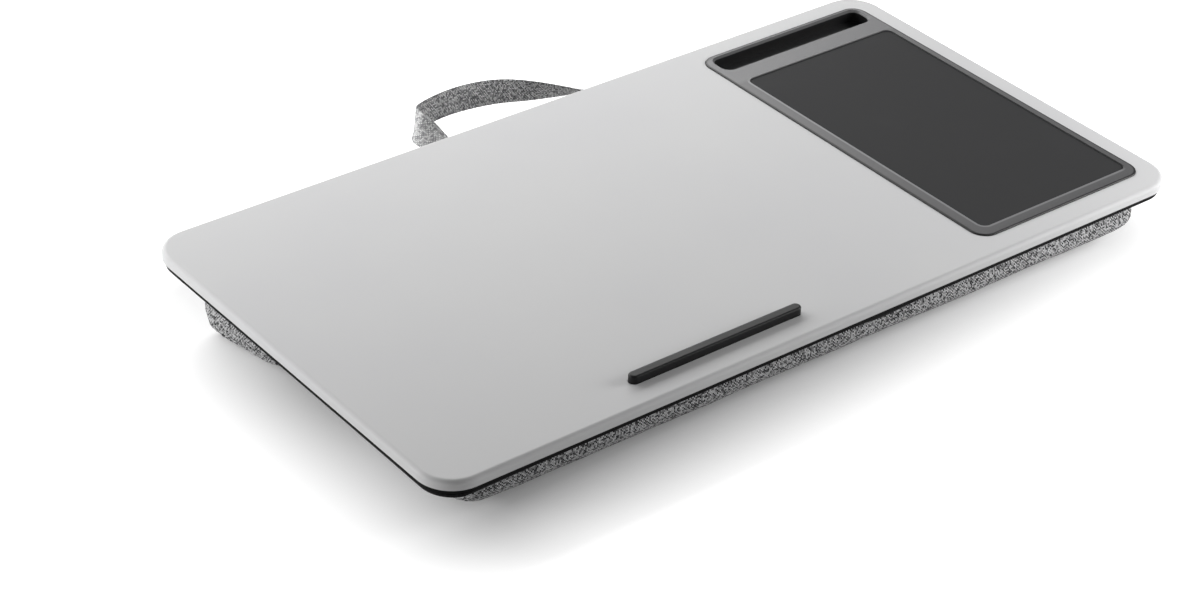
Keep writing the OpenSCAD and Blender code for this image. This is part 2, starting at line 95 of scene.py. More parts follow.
# %% [markdown]
# ## The camera
#
# The photograph's straight edges meet in three vanishing points, and those give the
# camera's place, direction and lens. The picture was cropped, so the middle of the lens
# isn't the middle of the frame, and two small shifts put it back.

# %% Camera
view_right = Vector((0.791643, -0.610962, -0.005208))
view_down = Vector((-0.286597, -0.363798, -0.886292))
view_ahead = Vector((0.539596, 0.703119, -0.463098))
camera_data = bpy.data.cameras.new("photo_view")
camera_data.sensor_width = 36
camera_data.lens = 91.7
camera_data.shift_x = 0.0241
camera_data.shift_y = -0.1306
camera_data.clip_start = 0.05
camera_data.clip_end = 40
camera = bpy.data.objects.new("photo_view", camera_data)
bpy.context.scene.collection.objects.link(camera)
turn = Matrix((view_right, -view_down, -view_ahead)).transposed().to_4x4()
camera.matrix_world = Matrix.Translation((-1.06038, -1.302874, 0.963229)) @ turn
bpy.context.scene.camera = camera
print("camera lens", camera_data.lens, "mm")

# %% [markdown]
# ## Helpers for finishes
#
# A finish is a small graph of nodes. Colours are written as sRGB hex, the way a paint
# program shows them, and one function turns them into the linear values that light
# works in. Another adds a node with its settings and links in one line, and a third uses
# it to mix two colours, which almost every finish does.

# %% Colour, node and material helpers


def linear(code):
    """A colour such as "#c8c8c8" as linear red, green, blue and alpha."""
    parts = [int(code[i : i + 2], 16) / 255 for i in (1, 3, 5)]
    return (*[p / 12.92 if p <= 0.04045 else ((p + 0.055) / 1.055) ** 2.4 for p in parts], 1.0)


def add(tree, kind, links=None, **settings):
    """Adds a node with its settings. A link is another node's output or a fixed value."""
    node = tree.nodes.new("ShaderNode" + kind)
    for name, value in settings.items():
        setattr(node, name, value)
    for socket, value in (links or {}).items():
        if isinstance(value, bpy.types.NodeSocket):
            tree.links.new(value, node.inputs[socket])
        else:
            node.inputs[socket].default_value = value
    return node


def mix_colours(tree, share, first, second):
    """A colour between two, where a share of 0 gives the first and 1 the second."""
    return add(tree, "Mix", {0: share, 6: first, 7: second}, data_type="RGBA").outputs[2]


def new_finish(name, **fixed):
    """A material with its Principled shader, whose fixed values are set on its own sockets."""
    material = bpy.data.materials.new(name)
    material.use_nodes = True
    shader = material.node_tree.nodes["Principled BSDF"]
    for socket, value in fixed.items():
        shader.inputs[socket.replace("_", " ")].default_value = value
    return material, material.node_tree, shader


# %% [markdown]
# ## Moulded plastic
#
# The board, its base, the frame and the trough are ABS, moulded in a steel tool whose
# faces were roughened by spark erosion. That leaves a satin skin of shallow pits about
# 0.4 mm wide, which breaks up the reflection and never shows as a pattern. A slow change
# of tone over some centimetres stands for the way melted plastic flows and cools. The
# pits are drawn 1.2 mm wide, because finer ones fall between the render's pixels.

# %% Moulded ABS


def moulded_abs(name, colour, flow_colour, roughness, gloss=0.5, pit_mm=1.2, pit_depth=0.012):
    """Satin moulded ABS: two close tones, fine pits and a roughness that varies a little."""
    material, tree, shader = new_finish(name, IOR=1.53, Specular_IOR_Level=gloss)
    place = add(tree, "TexCoord").outputs["Object"]
    flow = add(tree, "TexNoise", {"Vector": place, "Scale": 9, "Detail": 2, "Roughness": 0.5})
    tone = add(tree, "MapRange", {"Value": flow.outputs[0], "From Min": 0.3, "From Max": 0.7})
    body = mix_colours(tree, tone.outputs[0], linear(colour), linear(flow_colour))
    pits = add(tree, "TexNoise", {"Vector": place, "Scale": 1 / (pit_mm * MM), "Detail": 2})
    worn = add(
        tree,
        "MapRange",
        {"Value": pits.outputs[0], "To Min": roughness - 0.07, "To Max": roughness + 0.07},
    )
    bump = add(
        tree, "Bump", {"Height": pits.outputs[0], "Strength": 0.5, "Distance": pit_depth * MM}
    )
    tree.links.new(body, shader.inputs["Base Color"])
    tree.links.new(worn.outputs[0], shader.inputs["Roughness"])
    tree.links.new(bump.outputs[0], shader.inputs["Normal"])
    return material


shell_abs = moulded_abs("moulded_abs_pale_grey", "#d3d3d3", "#d0d0d1", 0.55, gloss=0.3)
base_abs = moulded_abs("moulded_abs_black", "#050505", "#070708", 0.6, gloss=0.15)
frame_abs = moulded_abs("moulded_abs_slate_grey", "#666667", "#626264", 0.45)
trough_abs = moulded_abs("moulded_abs_trough_black", "#121213", "#161617", 0.4)
print("plastics:", [m.name for m in (shell_abs, base_abs, frame_abs, trough_abs)])

# %% [markdown]
# ## Rubber
#
# The mouse pad is rubber with a printed-on matt skin of fine raised dots, pressed while
# it was hot. The ledge is a soft thermoplastic rubber, which takes a dull, wide gloss.
# The pad's dots are 1.1 mm apart and the ledge's grain 1.4 mm.

# %% Rubber


def pressed_rubber(name, colour, dust_colour, roughness, dot_mm, dot_depth, gloss=0.3):
    """Rubber with small rounded dots, and a bloom of paler dust in places."""
    material, tree, shader = new_finish(name, IOR=1.5, Specular_IOR_Level=gloss)
    place = add(tree, "TexCoord").outputs["Object"]
    cloud = add(tree, "TexNoise", {"Vector": place, "Scale": 30, "Detail": 3})
    bloom = add(tree, "MapRange", {"Value": cloud.outputs[0], "From Min": 0.4, "From Max": 0.8})
    body = mix_colours(tree, bloom.outputs[0], linear(colour), linear(dust_colour))
    dots = add(
        tree, "TexVoronoi", {"Vector": place, "Scale": 1 / (dot_mm * MM)}, feature="SMOOTH_F1"
    )
    bump = add(
        tree,
        "Bump",
        {"Height": dots.outputs["Distance"], "Strength": 0.5, "Distance": dot_depth * MM},
    )
    matt = add(
        tree,
        "MapRange",
        {"Value": cloud.outputs[0], "To Min": roughness - 0.05, "To Max": roughness + 0.08},
    )
    tree.links.new(body, shader.inputs["Base Color"])
    tree.links.new(matt.outputs[0], shader.inputs["Roughness"])
    tree.links.new(bump.outputs[0], shader.inputs["Normal"])
    return material


pad_rubber = pressed_rubber("pressed_rubber_charcoal", "#2b2b2c", "#2f2f30", 0.75, 1.1, 0.02)
ledge_rubber = pressed_rubber(
    "thermoplastic_rubber_dark", "#0b0b0c", "#0f0f10", 0.42, 1.4, 0.012, gloss=0.36
)
print("rubber:", pad_rubber.name, ledge_rubber.name)

# %% [markdown]
# The frame's band round the pad is drawn darker than the bridge behind it, which is
# painted shade, and the rear rim behind the phone slot is drawn darker still. Where the
# band drops to the pad at the front and left, a paler lip is a painted highlight, and the
# frame's outer wall is painted near black as the shade in the clearance of its pocket.
# Lip and wall follow rounded outlines on the flat board. The distance to such an outline
# is how far a point lies past the box of its four corner centres, less the corner's
# radius. Each place is a share from 0 to 1 that fades over a millimetre or two.

# %% Painted highlight on the frame's lip and painted shade on its band and outer wall
PAD_MIDDLE, PAD_HALF, PAD_ROUND = (204.25, -14), (63.75, 112.5), 5.5
FRAME_MIDDLE, FRAME_HALF, FRAME_ROUND = (202, 0.6), (70.9, 136.2), 11


def distance_past_box(tree, place, middle, half, stretch):
    """Distance in metres past a box round a middle, with each axis stretched or left out."""
    for operation, value in (
        ("SUBTRACT", (*middle, 0)),
        ("ABSOLUTE", (0, 0, 0)),
        ("SUBTRACT", (*half, 0)),
        ("MAXIMUM", (0, 0, 0)),
        ("MULTIPLY", stretch),
    ):
        place = add(tree, "VectorMath", {0: place, 1: value}, operation=operation).outputs[0]
    return add(tree, "VectorMath", {0: place}, operation="LENGTH").outputs["Value"]


def outline_distance(tree, place, middle, half, rounding):
    """Distance in metres past a rounded outline on the board, negative just inside it."""
    centres = [(h - rounding) * MM for h in half]
    reach = distance_past_box(tree, place, [m * MM for m in middle], centres, (1, 1, 0))
    return add(tree, "Math", {0: reach, 1: rounding * MM}, operation="SUBTRACT").outputs[0]


tree = frame_abs.node_tree
shader = tree.nodes["Principled BSDF"]
place = add(tree, "TexCoord").outputs["Object"]
flat = add(
    tree,
    "Mapping",
    {"Vector": place, "Location": UNBOARD.translation, "Rotation": UNBOARD.to_euler()},
).outputs[0]
width, depth = add(tree, "SeparateXYZ", {0: flat}).outputs[:2]
pad_gap = outline_distance(tree, flat, PAD_MIDDLE, PAD_HALF, PAD_ROUND)
wall_gap = outline_distance(tree, flat, FRAME_MIDDLE, FRAME_HALF, FRAME_ROUND)
share = {}
for name, value, none, full in (
    ("band", depth, 99.5, 95.5),
    ("rear rim", depth, 132, 133.5),
    ("left of the right band", width, 267, 262),
    ("lip", pad_gap, 1.9, 1.3),
    ("wall", wall_gap, -1.6, -1.1),
):
    fade = {"Value": value, "From Min": none * MM, "From Max": full * MM}
    share[name] = add(tree, "MapRange", fade).outputs[0]
for name in ("band", "left of the right band"):
    both = {0: share["lip"], 1: share[name]}
    share["lip"] = add(tree, "Math", both, operation="MULTIPLY").outputs[0]
tone = shader.inputs["Base Color"].links[0].from_socket
# band and wall get painted shade, the lip a painted highlight; the rear rim is only darker
for name, colour in (
    ("band", "#545455"),
    ("rear rim", "#4c4c4d"),
    ("lip", "#7a7a7b"),
    ("wall", "#0e0e0f"),
):
    tone = mix_colours(tree, share[name], tone, linear(colour))
tree.links.new(tone, shader.inputs["Base Color"])
print("frame finish has", len(tree.nodes), "nodes")

# %% [markdown]
# ## Steel and film
#
# The screws are zinc-plated steel with turned heads, whose tool marks are about 0.7 mm
# apart. The pad is held by a film of acrylic adhesive, a clear yellowish layer with small
# bubbles. Neither shows unless the tray is taken apart.

# %% Steel and film
screw_steel, tree, shader = new_finish("zinc_plated_steel", Metallic=1.0)
place = add(tree, "TexCoord").outputs["Object"]
marks = add(tree, "TexNoise", {"Vector": place, "Scale": 1400, "Detail": 3})
tint = mix_colours(tree, marks.outputs[0], linear("#b4b6b8"), linear("#c9cbcc"))
dull = add(tree, "MapRange", {"Value": marks.outputs[0], "To Min": 0.25, "To Max": 0.45})
tree.links.new(tint, shader.inputs["Base Color"])
tree.links.new(dull.outputs[0], shader.inputs["Roughness"])

adhesive_film, tree, shader = new_finish("acrylic_adhesive_film", Roughness=0.35, IOR=1.47)
place = add(tree, "TexCoord").outputs["Object"]
bubbles = add(tree, "TexNoise", {"Vector": place, "Scale": 220, "Detail": 2})
cast = mix_colours(tree, bubbles.outputs[0], linear("#d6d1bf"), linear("#ddd9ca"))
tree.links.new(cast, shader.inputs["Base Color"])
print("steel and film:", screw_steel.name, adhesive_film.name)

# %% [markdown]
# ## Finishes on the measured parts
#
# The moulded parts have the right shape already, so each only swaps its plain material
# for the finish of the real one.

# %% Give the measured parts their finishes
finish_of = {
    "top_shell": shell_abs,
    "base_panel": base_abs,
    "insert_frame": frame_abs,
    "phone_trough": trough_abs,
    "mouse_pad": pad_rubber,
    "device_ledge": ledge_rubber,
    "pad_adhesive": adhesive_film,
    "base_screws": screw_steel,
    "insert_screws": screw_steel,
    "ledge_screws": screw_steel,
}
for name, finish in finish_of.items():
    for material_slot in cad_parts[name].material_slots:
        material_slot.material = finish
print("finished", len(finish_of), "measured parts")

# %% [markdown]
# ## Woven cloth
#
# The cushion and the strap are polyester canvas: dark and pale yarns mixed before they
# were spun, which weavers call melange, in a plain weave where each thread goes over one
# and under the next. The real threads are about 0.5 mm apart. They are drawn 1.05 mm
# apart, the finest that the render still shows. The pattern follows the cloth through a
# UV map in millimetres: a checker says which thread is on top, a sine makes each thread
# round, and noise stretched along each thread gives the yarn its streaks. The colour is
# also darkened where a thread dips, which is painted shade in the gaps between threads.
# The threads that run one way are a little paler than those across them, and every
# crossing has a tone of its own, which gives the cloth its pepper-and-salt look.
# The strap's canvas is drawn paler than the cushion's, as painted light on its lit outer
# face, and its inner face is drawn darker than its outer one, as painted shade. Its UV
# map puts that face 40 mm further on, so the finish can tell the two apart.

# %% Plain weave of melange yarn
WARP_SHARE = 0.25
INNER_FACE_AT = 40


def plain_weave(name, dark, pale, pitch_mm, streak_mm, fleck, sheen, inner_face_shade=1.0):
    """Cloth of crossing round threads with streaky yarn, on the UV map named weave."""
    material, tree, shader = new_finish(
        name, Roughness=0.92, Sheen_Weight=sheen, Sheen_Roughness=0.4, Specular_IOR_Level=0.2
    )
    cloth = add(tree, "UVMap", uv_map="weave").outputs[0]
    cells = add(tree, "VectorMath", {0: cloth, 3: 1 / pitch_mm}, operation="SCALE").outputs[0]
    over = add(tree, "TexChecker", {"Vector": cells, "Scale": 1}).outputs["Fac"]
    crossing = add(tree, "VectorMath", {0: cells}, operation="FLOOR").outputs[0]
    number = add(tree, "SeparateXYZ", {0: crossing})
    turn = add(tree, "VectorMath", {0: cells}, operation="FRACTION").outputs[0]
    turn = add(tree, "VectorMath", {0: turn, 3: math.pi}, operation="SCALE").outputs[0]
    arch = add(tree, "VectorMath", {0: turn}, operation="SINE").outputs[0]
    arch = add(tree, "SeparateXYZ", {0: arch})
    length = add(tree, "SeparateXYZ", {0: cloth})
    rise, yarn = [], []
    for across, along in ((0, 1), (1, 0)):
        soft = add(tree, "Math", {0: arch.outputs[along], 1: 0.5}, operation="POWER").outputs[0]
        rise.append(
            add(tree, "Math", {0: arch.outputs[across], 1: soft}, operation="MULTIPLY").outputs[0]
        )
        run = add(
            tree, "Math", {0: length.outputs[along], 1: 1 / streak_mm}, operation="MULTIPLY"
        ).outputs[0]
        thread = add(
            tree, "Math", {0: number.outputs[across], 1: 3.7}, operation="MULTIPLY"
        ).outputs[0]
        spot = add(tree, "CombineXYZ", {0: run, 1: thread, 2: 7.0 * across}).outputs[0]
        yarn.append(add(tree, "TexNoise", {"Vector": spot, "Scale": 1, "Detail": 1}).outputs[0])
    height = add(tree, "Mix", {0: over, 2: rise[0], 3: rise[1]}).outputs[0]
    streak = add(tree, "Mix", {0: over, 2: yarn[0], 3: yarn[1]}).outputs[0]
    speck = add(tree, "TexWhiteNoise", {"Vector": crossing}, noise_dimensions="2D").outputs[0]
    mixed = add(tree, "Mix", {0: fleck, 2: streak, 3: speck}).outputs[0]
    warp = add(tree, "Mix", {0: WARP_SHARE, 2: mixed, 3: over}).outputs[0]
    blend = add(tree, "MapRange", {"Value": warp, "From Min": 0.28, "From Max": 0.72}).outputs[0]
    colour = mix_colours(tree, blend, linear(dark), linear(pale))
    # the thread's height darkens its colour towards the gaps: painted shade between threads
    shade = add(tree, "MapRange", {"Value": height, "To Min": 0.55, "To Max": 1.05}).outputs[0]
    deep = add(tree, "VectorMath", {0: colour, 3: shade}, operation="SCALE").outputs[0]
    # painted shade on the strap's inner face: its colour raised to a power
    if inner_face_shade != 1:
        between = INNER_FACE_AT / 2
        fade = {"From Min": between - 1, "From Max": between + 1, "To Min": 1, "To Max": inner_face_shade}
        side = add(tree, "MapRange", {"Value": length.outputs[1], **fade}).outputs[0]
        deep = add(tree, "Gamma", {"Color": deep, "Gamma": side}).outputs[0]
    bump = add(tree, "Bump", {"Height": height, "Strength": 0.6, "Distance": 0.25 * MM})
    tree.links.new(deep, shader.inputs["Base Color"])
    tree.links.new(bump.outputs[0], shader.inputs["Normal"])
    return material


cushion_canvas = plain_weave(
    "melange_canvas_cushion", "#28282a", "#e2e2e3", 1.05, 2.4, 0.85, 0.1
)
# the strap's paler yarns are painted light on its outer face
strap_canvas = plain_weave(
    "melange_canvas_strap", "#9c9c9e", "#fafafa", 1.05, 2.4, 0.8, 0.1, inner_face_shade=1.8
)
backing_felt = plain_weave("black_backing_cloth", "#0d0d0e", "#1f1f21", 1.6, 9, 0.5, 0.1)
sewing_thread = plain_weave("polyester_sewing_thread", "#b9b9ba", "#e2e2e2", 0.5, 2, 0.3, 0.2)
print("cloth:", [m.name for m in (cushion_canvas, strap_canvas, backing_felt, sewing_thread)])

# %% [markdown]
# ## Making a piece
#
# Each soft piece starts as a box or a grid that is cut into small squares, and then a
# function says where each of its points goes. That keeps the squares even, which cloth
# simulation, bumps and bending all need, and leaves a mesh with no poles or holes.

# %% Helpers for meshes


def cut_box(bm, cuts):
    """A box from -1 to 1, its faces cut into squares by a number of cuts along each axis."""
    bmesh.ops.create_cube(bm, size=2)
    for axis, count in enumerate(cuts):
        edges = [e for e in bm.edges if abs(e.verts[0].co[axis] - e.verts[1].co[axis]) > 1e-4]
        if count:
            bmesh.ops.subdivide_edges(bm, edges=edges, cuts=count, use_grid_fill=True)


def add_piece(name, bm, finish, smooth=True):
    """The object of a finished mesh, shaded smooth unless said otherwise."""
    mesh = bpy.data.meshes.new(name)
    bmesh.ops.recalc_face_normals(bm, faces=bm.faces)
    bm.to_mesh(mesh)
    bm.free()
    mesh.polygons.foreach_set("use_smooth", [smooth] * len(mesh.polygons))
    mesh.materials.append(finish)
    piece = bpy.data.objects.new(name, mesh)
    bpy.context.scene.collection.objects.link(piece)
    print(name, len(mesh.polygons), "faces")
    return piece


def take_shape(piece):
    """Turns what the piece's modifiers make into its own mesh."""
    final = piece.evaluated_get(bpy.context.evaluated_depsgraph_get())
    mesh = bpy.data.meshes.new_from_object(final)
    piece.modifiers.clear()
    piece.data = mesh


# %% [markdown]
# ## The two bolsters
#
# Each bolster is a long stuffed tube that is sewn to the backing cloth along its top and
# closed at each end by a panel. The thick rear one leans to the rear, the thin front one
# lies under the board's front edge. The rear one's ends run askew, longer at the rear than
# at the front, and both bolsters taper towards the floor, where the tray's weight presses
# them flat.
# A point of the cut box says how far along, across and down the bolster it lies. The body
# takes 0.86 of the box's length and the rounded ends take the rest. Three outlines are
# each rounded by a power, where 2 gives an ellipse and a large number gives a box: the
# section, the ends seen from above, and each end seen from the front. The seam along the
# top draws the cover in by 7 mm. In the function that places a point, the shell is how far
# from the bolster's middle the point lies, with 1 on the cover itself.

# %% Shape of a bolster before it is stuffed
SEAM_DRAW = 7
BODY_SHARE = 0.86
FLOOR_PRESS = 0.5


class Bolster:
    """Measures of one bolster in millimetres, with front and rear as depths on the board.

    powers: roundings of the section's front, of its rear and of the ends seen from above.
    ends: roundings of the left and of the right end, seen from the front.
    """

    def __init__(
        self, name, depths, lean, middle, half_length, askew, taper, end_round, powers, ends
    ):
        self.name = name
        self.front, self.rear = depths
        self.lean, self.middle, self.half_length = lean, middle, half_length
        self.askew, self.taper, self.end_round = askew, taper, end_round
        self.front_power, self.rear_power, self.corner_power = powers
        self.end_powers = ends

    def place(self, point, inset=0.0):
        """Where a point of the cut box goes, in metres, with the form made smaller by the inset."""
        along, across, down = abs(point.x), point.y, (1 - point.z) / 2
        ring = max(abs(across), down, 1e-6)
        cap = max(0.0, (along - BODY_SHARE) / (1 - BODY_SHARE))
        shell = max(cap, ring)
        turn = math.pi / 2 * (0.5 * cap / ring if cap < ring else 1 - 0.5 * ring / cap)
        end_power = self.end_powers[point.x > 0]
        out = math.sin(turn) ** (2 / end_power)
        narrow = max(0.0, 1 - out**self.corner_power) ** (1 / self.corner_power)
        low = max(0.0, 1 - out**end_power) ** (1 / end_power)
        across, down = across / ring, down / ring
        power = self.front_power if across < 0 else self.rear_power
        trim = (abs(across) ** power + down**power) ** (-1 / power)
        across, depth = across * trim * narrow * shell, down * trim * low * shell
        draw = SEAM_DRAW * (1 - min(depth, 1)) ** 3
        straight = self.half_length - draw - self.end_round
        straight += self.askew * across - self.taper * depth
        x = straight * min(along / BODY_SHARE, 1)
        x += (self.end_round - inset) * out * shell
        half = (self.rear - self.front) / 2 - draw - inset
        y = (self.front + self.rear) / 2 + self.lean * depth + across * half
        top = cloth_height(y) - 0.15
        z = top - depth * (top + FLOOR_PRESS - inset)
        return Vector((self.middle + math.copysign(x, point.x), y - MIDDLE_Y, z)) * MM


def section_points(bolster, along, samples):
    """Points round the measured form, at a place along it from -1 to 1."""
    points = []
    for k in range(samples + 1):
        turn = math.pi * k / samples
        across, down = -math.cos(turn), math.sin(turn)
        edge = 1 / max(abs(across), down)
        points.append(bolster.place(Vector((along, across * edge, 1 - 2 * down * edge))))
    return points


rear_bolster = Bolster(
    "rear_bolster",
    depths=(24.8, 129.8),
    lean=1.5,
    middle=3,
    half_length=272,
    askew=7,
    taper=3.6,
    end_round=10.9,
    powers=(2.45, 7.6, 2.6),
    ends=(5, 5),
)
front_bolster = Bolster(
    "front_bolster",
    depths=(-149, -13),
    lean=-3,
    middle=0,
    half_length=273,
    askew=0,
    taper=5,
    end_round=29,
    powers=(2.7, 2.7, 4.5),
    ends=(3.2, 2),
)
BOLSTERS = (rear_bolster, front_bolster)
print("bolster ends at", [round(b.place(Vector((-1, 0, 0))).x, 4) for b in BOLSTERS])

# %% [markdown]
# ## Stuffing the bolsters
#
# A stuffed cover is tight like a balloon, and the same push that a balloon feels makes
# it: the blank is remeshed to even squares of 5 mm, and twenty frames of cloth simulation
# blow it up. Its sewn top is pinned, down to 2 mm under the cloth, and the pins' hold
# fades out at 6 mm. No point may move more than a few millimetres, so that the form stays
# where it was measured.

# %% Blank and stuffing
SWELL = 0.7
MOST_SWELL = 2.5
MOST_SHRINK = 0.5
SQUARE = 5
PRESSURE = 4
FRAMES = 20


def blank_of(bolster):
    """The bolster's form a little too small, remeshed to even squares, with its top pinned."""
    bm = bmesh.new()
    cut_box(bm, (96, 27, 11))
    for vertex in bm.verts:
        vertex.co = bolster.place(vertex.co, SWELL)
    piece = add_piece(bolster.name, bm, cushion_canvas)
    remesh = piece.modifiers.new("even_squares", "REMESH")
    remesh.mode = "VOXEL"
    remesh.voxel_size = SQUARE * MM
    take_shape(piece)
    pins = piece.vertex_groups.new(name="sewn_top")
    for vertex in piece.data.vertices:
        drop = -(UNBOARD @ vertex.co).z / MM - CLOTH
        pins.add([vertex.index], ramp(drop, 6, 2), "REPLACE")
    return piece


def stuff(pieces):
    """Blows the pieces up with cloth simulation, all at once, and limits how far they swell."""
    before = [[v.co.copy() for v in piece.data.vertices] for piece in pieces]
    for piece in pieces:
        cloth = piece.modifiers.new("cover", "CLOTH")
        cloth.settings.use_pressure = True
        cloth.settings.uniform_pressure_force = PRESSURE
        cloth.settings.vertex_group_mass = "sewn_top"
        cloth.settings.effector_weights.gravity = 0
        cloth.point_cache.frame_start = 1
        cloth.point_cache.frame_end = FRAMES
    for step in range(1, FRAMES + 1):
        bpy.context.scene.frame_set(step)
    for piece, old in zip(pieces, before):
        take_shape(piece)
        for vertex, start in zip(piece.data.vertices, old):
            move = vertex.co - start
            most = (MOST_SWELL if move.dot(vertex.normal) > 0 else MOST_SHRINK) * MM
            if move.length > most:
                vertex.co = start + move.normalized() * most
    bpy.context.scene.frame_set(1)


bolster_pieces = [blank_of(bolster) for bolster in BOLSTERS]
stuff(bolster_pieces)
for piece in bolster_pieces:
    finer = piece.modifiers.new("finer", "SUBSURF")
    finer.levels = finer.render_levels = 1
    take_shape(piece)
    print(piece.name, len(piece.data.vertices), "points after stuffing")

# %% [markdown]
# ## Seams, puckers and the lie of the cloth
#
# A seam is where the cover is pulled in by its thread: a narrow groove, and beside it
# short folds that run away from it. The end panels are sewn in along their edge. Between
# seams the cover is never quite even, so slow noise moves it by less than a millimetre.
# The front bolster stands out a little further in front at its right end than at its
# left. At last what reaches under the floor is pressed flat, and what reaches above the
# backing cloth is laid against it.

# %% Detail of the covers
SEAM_SAMPLES = 160
GROOVE_DEPTH = 0.9
GROOVE_WIDTH = 1.8
PUCKER_HEIGHT = 0.5
PUCKER_REACH = 9
FULLER_RIGHT = 2.2


def dress(piece, bolster):
    """Adds the seam grooves, puckers, unevenness and the flat contact to a stuffed bolster."""
    mesh = piece.data
    surface = BVHTree.FromObject(piece, bpy.context.evaluated_depsgraph_get())
    edges = [p for side in (-1, 1) for p in section_points(bolster, side, SEAM_SAMPLES)]
    seam = kdtree.KDTree(len(edges))
    for count, point in enumerate(edges):
        seam.insert(surface.find_nearest(point)[0], count)
    seam.balance()
    normals = [v.normal.copy() for v in mesh.vertices]
    for vertex, normal in zip(mesh.vertices, normals):
        co = vertex.co
        below = max(0.0, -(UNBOARD @ co).z / MM - CLOTH)
        free = min(1.0, below / 6)
        _, index, reach = seam.find(co)
        reach /= MM
        push = 0.6 * noise.noise(co * 22) * free
        push += 0.25 * noise.noise(co * 70 + Vector((5, 0, 0))) * free
        push -= GROOVE_DEPTH * math.exp(-((reach / GROOVE_WIDTH) ** 2)) * free
        fold = math.sin(index * 1.1) * math.exp(-reach / PUCKER_REACH) * (reach > 1.5)
        push += PUCKER_HEIGHT * fold * free
        top_fold = math.sin(co.x * 260 + 3 * noise.noise(co * 15)) * math.exp(-below / 5)
        push += 0.12 * top_fold * min(1.0, below / 2)
        vertex.co = co + normal * push * MM
    for vertex in mesh.vertices:
        point = UNBOARD @ vertex.co
        if bolster is front_bolster:
            low = ramp(point.z / MM, -2, -17)
            front = ramp(point.y / MM, -60, -100)
            point.y -= FULLER_RIGHT * point.x / bolster.half_length * low * front
        point.z = min(point.z, -(CLOTH + 0.12) * MM)
        vertex.co = BOARD @ point
        vertex.co.z = max(vertex.co.z, 0.0)


for piece, bolster in zip(bolster_pieces, BOLSTERS):
    dress(piece, bolster)
    heights = [v.co.z / MM for v in piece.data.vertices]
    print(piece.name, "from", round(min(heights), 2), "to", round(max(heights), 2), "mm high")

# %% [markdown]
# ## How the weave lies on a bolster
#
# The cover's threads run along the bolster and round it, and on the end panels they run
# up and across. The UV map holds both lengths in millimetres. The length round the
# bolster is measured once on its section and then looked up by angle. A face belongs to
# an end panel if it looks mostly along the bolster.

# %% Weave on the bolsters
RING_SAMPLES = 240
PANEL_FACING = 0.62


def lay_weave(piece, bolster):
    """UV map in millimetres: along and round the cover, or across and up an end panel."""
    mesh = piece.data
    middle = Vector(((bolster.front + bolster.rear) / 2 + bolster.lean / 2 - MIDDLE_Y, 14)) * MM

    def angle_of(point):
        return math.atan2(middle.y - point.z, point.y - middle.x) % (2 * math.pi)

    points = section_points(bolster, 0, RING_SAMPLES)
    ring = sorted((angle_of(point), point.y, point.z) for point in points)
    angles = [angle for angle, y, z in ring]
    lengths = [0.0]
    for one, two in zip(ring, ring[1:]):
        lengths.append(lengths[-1] + math.hypot(two[1] - one[1], two[2] - one[2]) / MM)
    weave = mesh.uv_layers.new(name="weave")
    for face in mesh.polygons:
        on_panel = abs(face.normal.x) > PANEL_FACING
        for loop in face.loop_indices:
            co = mesh.vertices[mesh.loops[loop].vertex_index].co
            if on_panel:
                weave.data[loop].uv = (co.y / MM, co.z / MM)
                continue
            angle = angle_of(co)
            k = min(max(bisect(angles, angle) - 1, 0), len(angles) - 2)
            span = max(angles[k + 1] - angles[k], 1e-6)
            share = max(-2.0, min(2.0, (angle - angles[k]) / span))
            round_it = lengths[k] + share * (lengths[k + 1] - lengths[k])
            weave.data[loop].uv = (co.x / MM, round_it)


for piece, bolster in zip(bolster_pieces, BOLSTERS):
    lay_weave(piece, bolster)
    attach(piece, "tray")
    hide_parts(bolster.name + "_cover", bolster.name + "_filling")

# %% [markdown]
# ## Backing cloth and valley strip
#
# A black cloth is stretched over the base panel and carries the cushion. Its edge is
# rolled into a soft hem, which the eye takes for a part of the thin black line under the
# board. The hem hangs lower at the left, most of all at the front corner, and in one place
# of the front, right of the middle, where the extra black cloth stands in for the shade in
# the groove above the cushion, as painted shade. The grid's rows are closer at the edge,
# where the hem needs them.
# Between the bolsters a narrow strip of the cushion's canvas is sewn down along both
# edges and sags a little between them.

# %% Backing cloth
CLOTH_HALF = (287.5 - 1.9, 152.5 - 1.9)
CLOTH_CORNER = 21.1
CLOTH_DEPTH = 0.42
HEM = 5
HEM_DEPTH = 0.75
CORNER_SHADE_DROP = 1.5
LEFT_SHADE_DROP = 0.6
SHADE_WEDGE_DROP = 1.9


def flat_uv(piece, scale=1.0):
    """UV map in millimetres for cloth that lies flat on the board."""
    mesh = piece.data
    weave = mesh.uv_layers.new(name="weave")
    for loop in mesh.loops:
        point = UNBOARD @ mesh.vertices[loop.vertex_index].co
        weave.data[loop.index].uv = (point.x * scale / MM, point.y * scale / MM)


